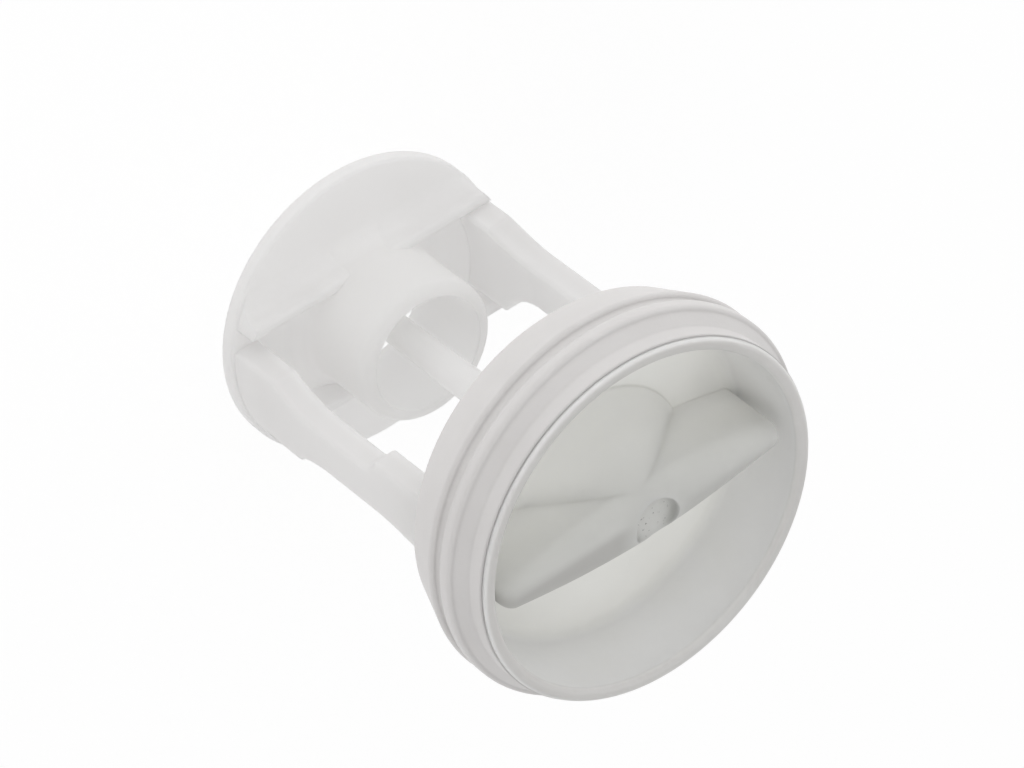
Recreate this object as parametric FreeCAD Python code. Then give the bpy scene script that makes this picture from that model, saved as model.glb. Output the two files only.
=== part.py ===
# Washer pump filter in millimetres: a cup shaped cap with a grip across it, two arms, an end
# disc with a flow tube, a catch rod on the axis, and a rubber seal stretched over the cap.
# The disc's back face lies on z = 0, the cap's mouth faces +z, arms and grip lie along x.
import FreeCAD, Part
import math
import os

# Cap
length = 74.4             # disc's back face to the rim's front
rim_radius = 30.8
rim_width = 2.0           # rim's front face, outside to mouth
rim_depth = 1.0
rim_edge = 0.7            # rounding of the rim's two front edges
cup_depth = 13.4
cup_taper = 1.6           # mouth radius less floor radius
cup_wall = 2.0            # wall at the floor, under the seal
floor_thickness = 2.2
floor_round = 2.0         # inside corner of wall and floor

# Grip across the cup, and the hub that it grows out of
grip_setback = 0.5        # grip's crest below the mouth
grip_base_gap = 0.5       # grip's ends to the wall, at the floor
grip_end_lean = 0.1       # ends lean in by this much towards the crest
grip_base_half = 6.2      # half thickness on the axis and at the ends, at the floor
grip_base_end = 2.5
grip_top_half = 5.4       # the same where the crest begins
grip_top_end = 2.4
crest_height = 3.0        # rounded crest
crest_steps = 5           # sections that make up the crest
hub_radius = 16.2
hub_step = 0.4            # upright edge of the hub on the floor
hub_dome = 8.0            # radius of the hub's round top
hub_wall = 2.6            # left around and above the hollow behind the hub
hollow_cover = 4.6        # crest to the hollow's end
gate_radius = 4.2         # sunk seat of the moulding gate, which cuts the crest's lower side
gate_along = 1.8          # seat's centre off the axis, along the grip and across it
gate_across = 1.6
gate_depth = 2.0
gate_round = 0.6          # inside corner of the seat

# End disc, and the two straight ribs that form a channel across it
disc_setback = 5.1        # disc's edge inside the rim's edge
disc_thickness = 2.4
disc_edge = 0.5
channel_half = 9.7        # axis to a rib's inner face
rib_thickness = 2.0
rib_rise = 4.7            # ribs above the disc
rib_root = 3.4            # rounding between rib and disc
rib_edge = 0.8

# Flow tube through the disc
tube_bore = 10.0
tube_wall = 2.3
tube_length = 18.8        # from the disc's back face
tube_lip = 1.6            # rounding of its front edge
bell_round = 4.2          # bore's mouth on the disc's back face
tube_root = 3.6           # rounding between tube and disc

# Arms: the edge heights are measured across the arm from the plane of both arms
arm_thickness = 4.7
arm_inset = 0.6           # arms' outside inside the disc's edge
arm_edge = 0.9            # rounding of the arms' long edges
arm_high_waist = 3.3      # edge on the side of the grip's far face, at the waist
arm_low_waist = 6.0       # edge on the other side
arm_high_far = 5.5        # the same two edges at the cap
arm_low_far = 9.7
arm_high_flare = 3.6      # lengths of the widening towards the cap
arm_low_flare = 9.0
arm_high_foot = 20.4      # straight parts at the cap
arm_low_foot = 13.4
guide_high_near = 5.8     # edge heights at the disc on the arm with the guide step
guide_low_near = 11.9
guide_run = 5.4           # guide step above the ribs
guide_flare = 12.0        # length of the widening towards the disc
plain_high_near = 8.0     # edge heights at the disc on the other arm
plain_low_near = 9.3
plain_run = 4.4           # straight part above the ribs
plain_flare = 9.0

# Catch rod from the cap's back
rod_root_radius = 3.2
rod_tip_radius = 2.4
rod_tip_edge = 0.6
rod_clear = 3.0           # rod's end above the disc's back face

# Rubber seal, from its nose at the rim to the skirt behind the cap
seal_nose = 1.8           # thickness at the rim
seal_collar = 3.0         # plain front part behind the rim
seal_height = 4.0         # thickness at both rings
seal_shoulder = 2.0       # slope from the collar to the front ring
front_ring = 2.6          # width of the front ring
groove_width = 1.6
groove_depth = 0.9
skirt_taper = 2.8         # rear ring's crest above the skirt's edge
skirt_reach = 3.4         # skirt behind the cap's back
lip_hook = 1.6            # lip inside the seat, behind the cap's back
seal_edge = 0.7           # rounding of the rings

# Heights and radii that follow from these
mouth_radius = rim_radius - rim_width
floor_radius = mouth_radius - cup_taper
seat_radius = floor_radius + cup_wall
disc_radius = rim_radius - disc_setback
rim_z = length - rim_depth
floor_z = length - cup_depth
back_z = floor_z - floor_thickness
rib_front = disc_thickness + rib_rise
tube_radius = tube_bore + tube_wall
sunk = floor_thickness / 2


def turned_place(r, z):
    return FreeCAD.Vector(r, 0, z)


def side_place(y, z):
    return FreeCAD.Vector(0, y, z)


def face(place, start, *moves):
    """Flat face: each move is a point to go straight to, or a middle and an end of an arc."""
    edges = []
    here = place(*start)
    for move in moves + (start,):
        arc = isinstance(move[0], tuple)
        end = place(*(move[1] if arc else move))
        if arc:
            edges.append(Part.Arc(here, place(*move[0]), end).toShape())
        elif here != end:
            edges.append(Part.makeLine(here, end))
        here = end
    return Part.Face(Part.Wire(edges))


def turned(start, *moves):
    """Solid of revolution from a profile of (radius, z) points."""
    return face(turned_place, start, *moves).revolve(FreeCAD.Vector(), FreeCAD.Vector(0, 0, 1), 360)


def quarter(start, end, centre):
    """Quarter round from start to end about centre, as one move of a profile."""
    middle = tuple(c + math.sqrt(0.5) * (s + e - 2 * c) for s, e, c in zip(start, end, centre))
    return middle, end


def bow(start, end, centre):
    """Middle point of the shorter arc from start to end about centre."""
    radius = math.dist(start, centre)
    half = [(s + e) / 2 - c for s, e, c in zip(start, end, centre)]
    return tuple(c + radius * h / math.hypot(*half) for c, h in zip(centre, half))


def turned_half(shape):
    """Copy of a shape, half a turn about the axis away from it."""
    other = shape.copy()
    other.rotate(FreeCAD.Vector(), FreeCAD.Vector(0, 0, 1), 180)
    return other


def make_cup():
    """Floor, tapered wall and rim flange, turned in one profile with its rounds."""
    slope = math.atan2(cup_taper, cup_depth)
    corner = floor_round * math.tan(math.pi / 4 - slope / 2)
    on_floor = (floor_radius - corner, floor_z)
    on_wall = (floor_radius + corner * math.sin(slope), floor_z + corner * math.cos(slope))
    centre = (on_floor[0], floor_z + floor_round)
    mouth_in = (mouth_radius + rim_edge, length)
    mouth_wall = (mouth_radius - rim_edge * math.sin(slope), length - rim_edge * math.cos(slope))
    mouth_centre = (mouth_in[0], length - rim_edge)
    rim_side = (rim_radius, length - rim_edge)
    rim_front = (rim_radius - rim_edge, length)
    return turned((0, back_z), (seat_radius, back_z), (seat_radius, rim_z), (rim_radius, rim_z),
                  rim_side, quarter(rim_side, rim_front, (rim_front[0], rim_side[1])), mouth_in,
                  (bow(mouth_in, mouth_wall, mouth_centre), mouth_wall), on_wall,
                  (bow(on_wall, on_floor, centre), on_floor), (0, floor_z))


def grip_wire(z, half_length, mid_half, end_half):
    """Grip's outline at one height: two flat arcs with rounded ends between them."""
    end_x = half_length - end_half

    def arc(*points):
        return Part.Arc(*[FreeCAD.Vector(x, y, z) for x, y in points]).toShape()

    near, far = (end_x, end_half), (-end_x, -end_half)
    return Part.Wire([arc((end_x, -end_half), (half_length, 0), near),
                      arc(near, (0, mid_half), (-end_x, end_half)),
                      arc((-end_x, end_half), (-half_length, 0), far),
                      arc(far, (0, -mid_half), (end_x, -end_half))])


def make_grip():
    """Wedge shaped bar with a round crest, lofted from outlines at rising heights."""
    crest_z = length - grip_setback - crest_height
    half_length = floor_radius - grip_base_gap
    top_length = half_length - grip_end_lean
    nearly_level = math.radians(78)
    crest = []
    for step in range(crest_steps + 1):
        turn = nearly_level * step / crest_steps
        part = math.cos(turn)
        inset = grip_top_end * (1 - part)
        crest.append(grip_wire(crest_z + crest_height * math.sin(turn), top_length - inset,
                               grip_top_half * part, grip_top_end * part))
    foot = grip_wire(floor_z - sunk, half_length, grip_base_half, grip_base_end)
    return Part.makeLoft([foot, crest[0]], True, True).fuse(Part.makeLoft(crest, True, False))


def make_hub():
    """Cone with a round top, in the middle of the grip."""
    top = length - grip_setback
    base = (hub_radius, floor_z + hub_step)
    centre = (0, top - hub_dome)
    reach = math.dist(base, centre)
    turn = math.atan2(base[1] - centre[1], base[0]) + math.acos(hub_dome / reach)
    touch = (hub_dome * math.cos(turn), centre[1] + hub_dome * math.sin(turn))
    return turned((0, floor_z - sunk), (hub_radius, floor_z - sunk), base, touch,
                  (bow(touch, (0, top), centre), (0, top)))


def make_gate():
    """Space of the sunk seat that keeps the gate's stub below the crest."""
    seat_z = length - grip_setback - gate_depth
    low, side = (gate_radius - gate_round, seat_z), (gate_radius, seat_z + gate_round)
    seat = turned((0, seat_z), low, quarter(low, side, (low[0], side[1])),
                  (gate_radius, length), (0, length))
    seat.translate(FreeCAD.Vector(-gate_along, gate_across, 0))
    return seat


def make_hollow():
    """Space behind the hub, which keeps the moulding's walls even; the rod stands in it."""
    top = length - grip_setback - hollow_cover
    wide = hub_radius - hub_wall
    return turned((0, back_z - sunk), (wide, back_z - sunk), (wide, back_z),
                  (rod_root_radius, top), (0, top))


def make_disc():
    edge = (disc_radius, disc_thickness - disc_edge)
    top = (disc_radius - disc_edge, disc_thickness)
    return turned((0, 0), (disc_radius, 0), edge, quarter(edge, top, (top[0], edge[1])),
                  (0, disc_thickness))


def make_ribs():
    """Two straight ribs with round tops, rounded into the disc on their outer sides."""
    outer = channel_half + rib_thickness
    root = disc_thickness - disc_edge
    inner_top = (channel_half + rib_edge, rib_front)
    outer_top = (outer - rib_edge, rib_front)
    outer_side = (outer, rib_front - rib_edge)
    inner_side = (channel_half, rib_front - rib_edge)
    bend_top = (outer, disc_thickness + rib_root)
    bend_end = (outer + rib_root, disc_thickness)
    section = face(side_place, (channel_half, root), inner_side,
                   quarter(inner_side, inner_top, (inner_top[0], inner_side[1])), outer_top,
                   quarter(outer_top, outer_side, (outer_top[0], outer_side[1])), bend_top,
                   quarter(bend_top, bend_end, (bend_end[0], bend_top[1])), (outer + rib_root, root))
    rib = section.extrude(FreeCAD.Vector(2 * disc_radius, 0, 0))
    rib.translate(FreeCAD.Vector(-disc_radius, 0, 0))
    rib = rib.common(Part.makeCylinder(disc_radius - disc_edge, rib_front))
    return [rib, turned_half(rib)]


def make_tube():
    """Tube's outside with its root round and front lip, still without the bore."""
    root_end = (tube_radius + tube_root, disc_thickness)
    root_top = (tube_radius, disc_thickness + tube_root)
    lip_side = (tube_radius, tube_length - tube_lip)
    lip_top = (tube_radius - tube_lip, tube_length)
    return turned((0, 0), (root_end[0], 0), root_end,
                  quarter(root_end, root_top, (root_end[0], root_top[1])), lip_side,
                  quarter(lip_side, lip_top, (lip_top[0], lip_side[1])), (0, tube_length))


def make_bore():
    """Space through tube and disc, with a bell mouth on the disc's back."""
    bell = (tube_bore + bell_round, 0)
    throat = (tube_bore, bell_round)
    past = tube_length + tube_wall
    return turned((0, -tube_wall), (bell[0], -tube_wall), bell,
                  quarter(bell, throat, (bell[0], throat[1])), (tube_bore, past), (0, past))


def flared(waist, end):
    """Arc from a straight waist, tangent to it, out to the wider end."""
    out, along = end[0] - waist[0], end[1] - waist[1]
    radius = (out ** 2 + along ** 2) / (2 * out)
    return bow(waist, end, (waist[0] + radius, waist[1])), end


def make_arm(high_near, low_near, near_run, near_flare):
    """Waisted strap of a cylinder wall, from the disc to the cap, on the +x side."""
    root = disc_thickness - disc_edge
    cap = back_z + sunk
    near_z = rib_front + near_run
    waist_z = near_z + near_flare
    low_foot = (arm_low_far, back_z - arm_low_foot)
    high_foot = (-arm_high_far, back_z - arm_high_foot)
    low_waist_end = (arm_low_waist, low_foot[1] - arm_low_flare)
    high_waist_end = (-arm_high_waist, high_foot[1] - arm_high_flare)
    low_waist, low_top = (arm_low_waist, waist_z), (low_near, near_z)
    high_waist, high_top = (-arm_high_waist, waist_z), (-high_near, near_z)
    outline = face(side_place, (low_near, root), low_top, (flared(low_waist, low_top)[0], low_waist),
                   low_waist_end, flared(low_waist_end, low_foot), (arm_low_far, cap), (-arm_high_far, cap),
                   high_foot, (flared(high_waist_end, high_foot)[0], high_waist_end), high_waist,
                   flared(high_waist, high_top), (-high_near, root))
    outside = disc_radius - arm_inset
    wall = Part.makeCylinder(outside, length).cut(Part.makeCylinder(outside - arm_thickness, length))
    arm = outline.extrude(FreeCAD.Vector(disc_radius, 0, 0)).common(wall)
    middle_radius = outside - arm_thickness / 2
    return arm.makeFillet(arm_edge, [edge for edge in arm.Edges if runs_along(edge, middle_radius)])


def runs_along(edge, middle_radius):
    """True for an edge along the arm's outer or inner face, not one across it or at its ends."""
    middle = edge.valueAt((edge.FirstParameter + edge.LastParameter) / 2)
    off_middle = abs(math.hypot(middle.x, middle.y) - middle_radius)
    return off_middle > arm_thickness / 4 and edge.BoundBox.ZLength > arm_edge / 100


def make_rod():
    """Tapered rod, moulded on the cap inside the hollow, free at the disc's end."""
    root_z = length - grip_setback - hollow_cover + sunk
    return turned((0, rod_clear), (rod_tip_radius - rod_tip_edge, rod_clear),
                  (rod_tip_radius, rod_clear + rod_tip_edge), (rod_root_radius, back_z),
                  (rod_root_radius, root_z), (0, root_z))


def make_seal():
    """Rubber sleeve with a plain collar, two round rings and a skirt, hooked behind the cap's back."""
    crest = seat_radius + seal_height
    collar_r = seat_radius + seal_nose
    collar_z = rim_z - seal_collar
    front_z = collar_z - seal_shoulder
    groove_front = front_z - front_ring
    groove_back = groove_front - groove_width
    groove_r = crest - groove_depth
    skirt_z = back_z - skirt_reach
    skirt_r = crest - skirt_taper
    lip_r = seat_radius - lip_hook
    inner = crest - seal_edge
    rear_side = groove_back - seal_edge
    front_side = groove_front + seal_edge
    nose_side = front_z - seal_edge

    def ring_edge(start, end, centre_z):
        return quarter(start, end, (inner, centre_z))

    return turned((lip_r, skirt_z), (skirt_r - seal_edge, skirt_z), (skirt_r, skirt_z + seal_edge),
                  (crest, rear_side), ring_edge((crest, rear_side), (inner, groove_back), rear_side),
                  ((groove_r, (groove_back + groove_front) / 2), (inner, groove_front)),
                  ring_edge((inner, groove_front), (crest, front_side), front_side),
                  (crest, nose_side), ring_edge((crest, nose_side), (inner, front_z), nose_side),
                  (collar_r, collar_z), (collar_r, rim_z), (seat_radius, rim_z),
                  (seat_radius, back_z), (lip_r, back_z))


cap = make_cup().fuse([make_grip(), make_hub()]).cut(make_hollow().fuse(make_gate()))
arms = [make_arm(guide_high_near, guide_low_near, guide_run, guide_flare),
        turned_half(make_arm(plain_high_near, plain_low_near, plain_run, plain_flare))]
end = make_disc().fuse(make_ribs() + [make_tube()] + arms).cut(make_bore()).removeSplitter()
filter_body = cap.fuse([end, make_rod()])

os.makedirs("parts", exist_ok=True)
for name, shape in (("filter_body", filter_body), ("seal", make_seal())):
    shape.exportStep("parts/" + name + ".step")
    print(name, len(shape.Solids), "solid", shape.isValid(), round(shape.Volume / 1000, 2), "cm3")
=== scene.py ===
import bpy
import numpy as np
from mathutils import Matrix

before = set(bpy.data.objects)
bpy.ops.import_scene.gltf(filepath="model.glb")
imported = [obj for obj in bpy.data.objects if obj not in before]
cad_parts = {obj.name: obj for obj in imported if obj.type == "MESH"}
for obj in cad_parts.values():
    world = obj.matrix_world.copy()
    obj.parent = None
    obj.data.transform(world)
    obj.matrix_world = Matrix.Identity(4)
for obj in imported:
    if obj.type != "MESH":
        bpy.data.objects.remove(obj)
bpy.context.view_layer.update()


# The filter body: cap, grip, arms, end disc, flow tube and catch rod in one shot.
# Natural polypropylene, left uncoloured, so thin walls are milky and the thick grip looks greyer,
# partly as painted shade in its colour.
# Injection moulded from a gate on the grip's crest, whose sunk seat still shows torn plastic.

class Wire:
    """A shader socket: + - * with wires or numbers add Math nodes, node() adds any other node."""

    def __init__(self, tree, socket=None):
        self.tree = tree
        self.socket = socket

    def node(self, kind, settings, links, out=0):
        """A node of this kind: its settings are set first, then each socket's value or link."""
        made = self.tree.nodes.new("ShaderNode" + kind)
        for name, value in settings.items():
            setattr(made, name, value)
        for name, value in links.items():
            if isinstance(value, Wire):
                self.tree.links.new(value.socket, made.inputs[name])
            else:
                made.inputs[name].default_value = value
        return Wire(self.tree, made.outputs[out])

    def maths(self, operation, *values):
        return self.node("Math", {"operation": operation}, dict(enumerate(values)))

    def __add__(self, other):
        return self.maths("ADD", self, other)

    def __radd__(self, other):
        return self.maths("ADD", other, self)

    def __sub__(self, other):
        return self.maths("SUBTRACT", self, other)

    def __rsub__(self, other):
        return self.maths("SUBTRACT", other, self)

    def __mul__(self, other):
        return self.maths("MULTIPLY", self, other)

    def __rmul__(self, other):
        return self.maths("MULTIPLY", other, self)

    def between(self, low, high):
        """Runs smoothly from 0 where this value is low to 1 where it is high."""
        smooth = {"interpolation_type": "SMOOTHSTEP"}
        return self.node("MapRange", smooth, {0: self, 1: low, 2: high})

    def noise(self, place, scale, detail):
        links = {"Vector": place, "Scale": scale, "Detail": detail, "Roughness": 0.55}
        return self.node("TexNoise", {}, links)

    def blend(self, share, first, second):
        """Colour that goes from the first to the second as share goes from 0 to 1."""
        return self.node("Mix", {"data_type": "RGBA"}, {0: share, 6: first, 7: second}, out=2)

    def bump(self, height, depth, base):
        """The base normal, tilted by a height that counts as depth metres where it is 1."""
        links = {"Height": height, "Distance": depth, "Strength": 1.0, "Normal": base}
        return self.node("Bump", {}, links)


def new_finish(name):
    """A bare material, a Wire that makes nodes in it, and its shader."""
    finish = bpy.data.materials.new(name)
    finish.use_nodes = True
    return finish, Wire(finish.node_tree), finish.node_tree.nodes["Principled BSDF"]


def on_part(make):
    """Place on the part, as a vector, as x, y and z, and as the distance from the filter's axis."""
    place = make.node("TexCoord", {}, {}, out=3)
    x, y, z = (make.node("SeparateXYZ", {}, {0: place}, out=i) for i in range(3))
    return place, x, y, z, make.maths("SQRT", x * x + y * y)


def into(shader, name, wire):
    wire.tree.links.new(wire.socket, shader.inputs[name])


def mix_in(finish, shader, share, other):
    """The finish shows its shader, and the other shader by this share."""
    own = Wire(finish.node_tree, shader.outputs[0])
    shown = own.node("MixShader", {}, {0: share, 1: own, 2: other})
    output = finish.node_tree.nodes["Material Output"]
    finish.node_tree.links.new(shown.socket, output.inputs["Surface"])


def inner_glow(shader, weight, depth):
    """Light that goes in and comes out again within this depth in metres, alike in all colours."""
    shader.inputs["Subsurface Weight"].default_value = weight
    shader.inputs["Subsurface Radius"].default_value = (1.0, 1.0, 1.0)
    shader.inputs["Subsurface Scale"].default_value = depth


def dress(node, finish):
    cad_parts[node].data.materials.clear()
    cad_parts[node].data.materials.append(finish)


milky, make, shader = new_finish("milky_polypropylene")
place, x, y, z, from_axis = on_part(make)

# Where its features start and end, in metres: distances from the axis, heights over the disc's back.
bore_wall = (0.0098, 0.0106)
tube_wall = (0.0102, 0.0112)
tube_outside = (0.0120, 0.0130)
arm_inside = (0.0206, 0.0232)
cup_wall_foot = (0.0262, 0.0270)
cup_inside = (0.0266, 0.0274)
rim_inside = (0.0283, 0.0290)
lip_outside = (0.0303, 0.0307)
arm_root = (0.0040, 0.0090)
tube_root = (0.0050, 0.0090)
tube_end = (0.0180, 0.0195)
cage_end = (0.0500, 0.0560)
cap_back = (0.0500, 0.0600)
cup_floor = (0.0600, 0.0612)
grip_foot = (0.0608, 0.0630)
cup_wall_start = (0.0610, 0.0625)
grip_rise = (0.0620, 0.0735)
crest_side = (0.0660, 0.0700)
lip_back = (0.0700, 0.0715)
seat_floor = (0.0712, 0.0716)
rim_front = (0.0731, 0.0736)

in_cup = z.between(*cup_floor) * (1 - from_axis.between(*cup_inside))
grip = in_cup * z.between(*grip_rise)
rim = z.between(*rim_front) * from_axis.between(*rim_inside)
lip_edge = from_axis.between(*lip_outside) * z.between(*lip_back)
bore = (1 - from_axis.between(*bore_wall)) * (1 - z.between(*tube_end))
tube = from_axis.between(*tube_wall) * z.between(*tube_root) * (1 - z.between(*tube_end))
arms = from_axis.between(*arm_inside) * z.between(*arm_root)
cup_wall = from_axis.between(*cup_wall_foot) * z.between(*cup_wall_start)

# Thin walls look pale, the solid grip and the rim look greyer; beyond that, several of these tones
# hold painted light and painted shade.
disc_white = (0.885, 0.878, 0.876, 1)
# Painted light: from the tube out to the arms' inner faces the tone is lighter, filling their shade.
tube_painted_light = (0.915, 0.909, 0.905, 1)
# The arms' outer faces are greyer, partly for their thickness and partly as painted shade.
arm_grey_and_shade = (0.835, 0.824, 0.820, 1)
# Painted light: the cap is lighter, as if lit through its floor from behind.
cap_painted_light = (0.930, 0.930, 0.902, 1)
# Painted light: the cup's wall is lighter, as if light shone through it.
wall_painted_light = (0.955, 0.952, 0.930, 1)
# The solid grip is greyer, partly for its thickness and partly as painted shade.
grip_grey_and_shade = (0.670, 0.672, 0.648, 1)
# Painted shade: the rim, which the seal backs, is greyer.
rim_painted_shade = (0.670, 0.658, 0.641, 1)
# Painted light: the lip's outer edge is paler, lighting the shaded seam at the seal.
lip_painted_light = (0.840, 0.830, 0.815, 1)
# Painted light: the bore and the rod in it are paler, filling the shade inside the tube.
bore_painted_light = (0.960, 0.960, 0.950, 1)
tone = make.blend(tube, disc_white, tube_painted_light)
tone = make.blend(arms, tone, arm_grey_and_shade)
tone = make.blend(z.between(*cap_back), tone, cap_painted_light)
tone = make.blend(cup_wall, tone, wall_painted_light)
tone = make.blend(grip, tone, grip_grey_and_shade)
tone = make.blend(rim, tone, rim_painted_shade)
tone = make.blend(lip_edge, tone, lip_painted_light)
tone = make.blend(bore, tone, bore_painted_light)

# Clouding in the melt, and streaks drawn out along the arms as it flowed.
cloud_grey = (0.800, 0.793, 0.780, 1)
streak_white = (0.900, 0.895, 0.885, 1)
drawn_out = make.node("Mapping", {}, {"Vector": place, "Scale": (1.0, 1.0, 0.22)})
cloud = make.noise(place, 55.0, detail=4.0)
streak = make.noise(drawn_out, 260.0, detail=2.0)
tone = make.blend(cloud.between(0.35, 0.75) * 0.25, tone, cloud_grey)
tone = make.blend(streak.between(0.55, 0.8) * 0.10, tone, streak_white)

# Painted shade on the far side of the grip's crest, broader on one wing, and none at the gate's
# seat.
# On the floor of the seat the plastic is torn and paler, with specks of dirt.
crest_shade_grey = (0.560, 0.556, 0.536, 1)
torn_white = (0.800, 0.800, 0.775, 1)
dirt_grey = (0.220, 0.210, 0.200, 1)
seat_centre = (-0.0018, 0.0016)
seat_inside = (0.0022, 0.0042)
crest_shade_end = (0.0036, 0.0080)
seat_x = x - seat_centre[0]
seat_y = y - seat_centre[1]
off_seat = make.maths("SQRT", seat_x * seat_x + seat_y * seat_y)
broad_wing = x.between(-0.003, 0.006)
far_side = (y + broad_wing * 0.0016).between(-0.0004, 0.0016)
crest_shade = in_cup * far_side * z.between(*crest_side)
crest_shade = crest_shade * off_seat.between(*crest_shade_end) * (0.55 + broad_wing * 0.45)
torn = (1 - off_seat.between(*seat_inside)) * z.between(*seat_floor)
dirt = make.noise(place, 1500.0, detail=2.0)
tone = make.blend(crest_shade, tone, crest_shade_grey)
tone = make.blend(torn * 0.7, tone, torn_white)
tone = make.blend(torn * dirt.between(0.65, 0.71) * 0.8, tone, dirt_grey)
into(shader, "Base Color", tone)

# Satin skin, duller in scuffs that all run one way.
one_way = {"Vector": place, "Rotation": (0.4, 0.7, 0.2), "Scale": (1, 9, 1)}
scuff = make.noise(make.node("Mapping", {}, one_way), 420.0, detail=3.0)
into(shader, "Roughness", 0.40 + cloud * 0.10 + scuff.between(0.6, 0.75) * 0.08)
shader.inputs["Specular IOR Level"].default_value = 0.45

# Soft moulded edges, softest where the grip runs into its hub, then shrink waves and a fine grain.
wave_depth = 0.00012
grain_depth = 0.000012
tear_depth = 0.0001
edge_round = 0.0006
grip_round = 0.0080
soft_edge = make.node("Bevel", {"samples": 4}, {"Radius": edge_round})
soft_grip = make.node("Bevel", {"samples": 8}, {"Radius": grip_round})
near_grip = in_cup * z.between(*grip_foot)
softened = {0: near_grip, 4: soft_edge, 5: soft_grip}
rounded = make.node("Mix", {"data_type": "VECTOR"}, softened, out=1)
wavy = make.bump(make.noise(place, 190.0, detail=2.0), wave_depth, rounded)
grain = make.noise(place, 2600.0, detail=2.0)
into(shader, "Normal", make.bump(grain * grain_depth + torn * dirt * tear_depth, 1.0, wavy))
inner_glow(shader, 0.8, 0.002)

# Light from behind shows through the cage, most at the tube and rod, and not through the cap.
shine = make.node("BsdfTranslucent", {}, {"Color": (0.97, 0.967, 0.964, 1)})
through = (0.68 - from_axis.between(*tube_outside) * 0.18) * (1 - z.between(*cage_end))
mix_in(milky, shader, through, shine)
dress("filter_body", milky)


# The seal: one ring of white rubber with two rounded crests and a skirt behind them.
# Moulded with a matt skin, a little clouded and dusty from handling.
# It is stretched over the cap and hooks behind the cap's back edge.

white_rubber, make, shader = new_finish("white_rubber")
place, x, y, z, from_axis = on_part(make)
rubber_white = (0.705, 0.689, 0.681, 1)
rubber_grey = (0.655, 0.637, 0.628, 1)
seam_painted_light = (0.860, 0.845, 0.835, 1)
dust_grey = (0.600, 0.585, 0.570, 1)
cloud = make.noise(place, 70.0, detail=4.0)
dust = make.noise(place, 900.0, detail=3.0)
# Painted light: the seal's front edge by the cap's lip is paler, so the seam between them shows less
# shade.
front_inside = (0.0303, 0.0306)
front_height = (0.0722, 0.0730)
seam_light_mask = (1 - from_axis.between(*front_inside)) * z.between(*front_height)
tone = make.blend(cloud.between(0.35, 0.7) * 0.5, rubber_white, rubber_grey)
tone = make.blend(seam_light_mask, tone, seam_painted_light)
tone = make.blend(dust.between(0.6, 0.8) * 0.15, tone, dust_grey)
into(shader, "Base Color", tone)
into(shader, "Roughness", 0.50 + cloud * 0.12)
shader.inputs["Specular IOR Level"].default_value = 0.4
skin_depth = 0.00002
crest_round = 0.0011
soft_edge = make.node("Bevel", {"samples": 6}, {"Radius": crest_round})
into(shader, "Normal", make.bump(make.noise(place, 2200.0, detail=3.0), skin_depth, soft_edge))
inner_glow(shader, 0.3, 0.002)
dress("seal", white_rubber)


# The stage: a plain pale table that glows weakly, on which the disc's back stands.
# It is nearly white to the camera, and keeps a share of its own shading with the soft shadow.

def floor_sheet(half, cells, drop):
    """Flat grid in x and y from -half to half, at z = -drop."""
    across = np.linspace(-half, half, cells + 1)
    gx, gy = np.meshgrid(across, across, indexing="ij")
    points = np.stack([gx, gy, np.full_like(gx, -drop)], axis=-1).reshape(-1, 3)
    corner = (np.arange(cells)[:, None] * (cells + 1) + np.arange(cells)).ravel()
    quads = np.stack([corner, corner + cells + 1, corner + cells + 2, corner + 1], axis=-1)
    mesh = bpy.data.meshes.new("floor")
    mesh.from_pydata(points.tolist(), [], quads.tolist())
    return mesh


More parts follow.
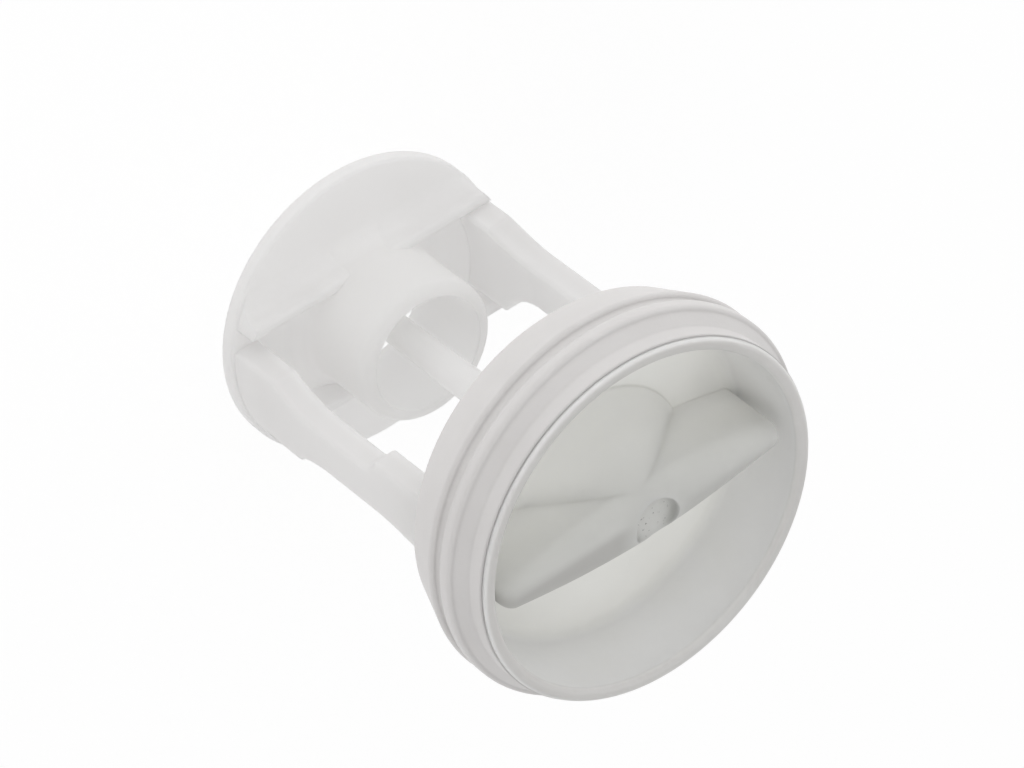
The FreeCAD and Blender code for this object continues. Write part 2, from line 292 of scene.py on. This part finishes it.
floor = bpy.data.objects.new("floor", floor_sheet(4.0, 16, 0.0001))
bpy.context.scene.collection.objects.link(floor)
pale, make, shader = new_finish("pale_floor")
shader.inputs["Base Color"].default_value = (0.88, 0.88, 0.88, 1)
shader.inputs["Roughness"].default_value = 0.9
shader.inputs["Emission Color"].default_value = (1, 1, 1, 1)
shader.inputs["Emission Strength"].default_value = 0.30
camera_ray, glossy_ray, transmission_ray = (make.node("LightPath", {}, {}, out=i) for i in (0, 3, 6))
white_share = 0.83
seen = make.maths("MINIMUM", camera_ray + glossy_ray + transmission_ray, 1.0) * white_share
plain_white = make.node("Emission", {}, {"Color": (1, 1, 1, 1), "Strength": 1.0})
mix_in(pale, shader, seen, plain_white)
floor.data.materials.append(pale)


# Light: an even pale room with three large soft panels, low in front, to one side and above.

world = bpy.data.worlds.new("pale_room")
bpy.context.scene.world = world
world.use_nodes = True
world.node_tree.nodes["Background"].inputs["Color"].default_value = (1, 1, 1, 1)
world.node_tree.nodes["Background"].inputs["Strength"].default_value = 0.61


def stand(thing, right, up, back, place):
    """Put a lamp or camera at a place in the scene, its own x, y and z along right, up and back."""
    pose = np.eye(4)
    pose[:3, 0] = right
    pose[:3, 1] = up
    pose[:3, 2] = back
    pose[:3, 3] = place
    thing.matrix_world = Matrix(pose.tolist())
    bpy.context.scene.collection.objects.link(thing)


def soft_panel(name, watts, place):
    """A panel 1 m wide and 0.6 m high that faces the middle of the filter."""
    lamp = bpy.data.lights.new(name, "AREA")
    lamp.shape = "RECTANGLE"
    lamp.size = 1.0
    lamp.size_y = 0.6
    lamp.energy = watts
    back = np.array(place) - np.array((0.0, 0.0, 0.04))
    back /= np.linalg.norm(back)
    right = np.cross((0, 0, 1), back)
    right /= np.linalg.norm(right)
    stand(bpy.data.objects.new(name, lamp), right, np.cross(back, right), back, place)


soft_panel("front_panel", 2.4, (-0.1, -1.0, 0.28))
soft_panel("side_panel", 1.2, (-1.0, -0.2, 0.32))
soft_panel("top_panel", 1.2, (0.60, 0.15, 0.95))


# Camera: a long lens at the photograph's viewing angle.

camera = bpy.data.objects.new("camera", bpy.data.cameras.new("camera"))
camera.data.sensor_fit = "HORIZONTAL"
camera.data.sensor_width = 36.0
camera.data.lens = 246.09
camera_right = (-0.7852, 0.1354, 0.6043)
camera_up = (-0.4811, -0.7477, -0.4577)
camera_back = (0.3898, -0.6501, 0.6522)
camera_place = (0.4142, -0.6986, 0.7349)
stand(camera, camera_right, camera_up, camera_back, camera_place)
bpy.context.scene.camera = camera
bpy.context.scene.view_settings.view_transform = "Standard"
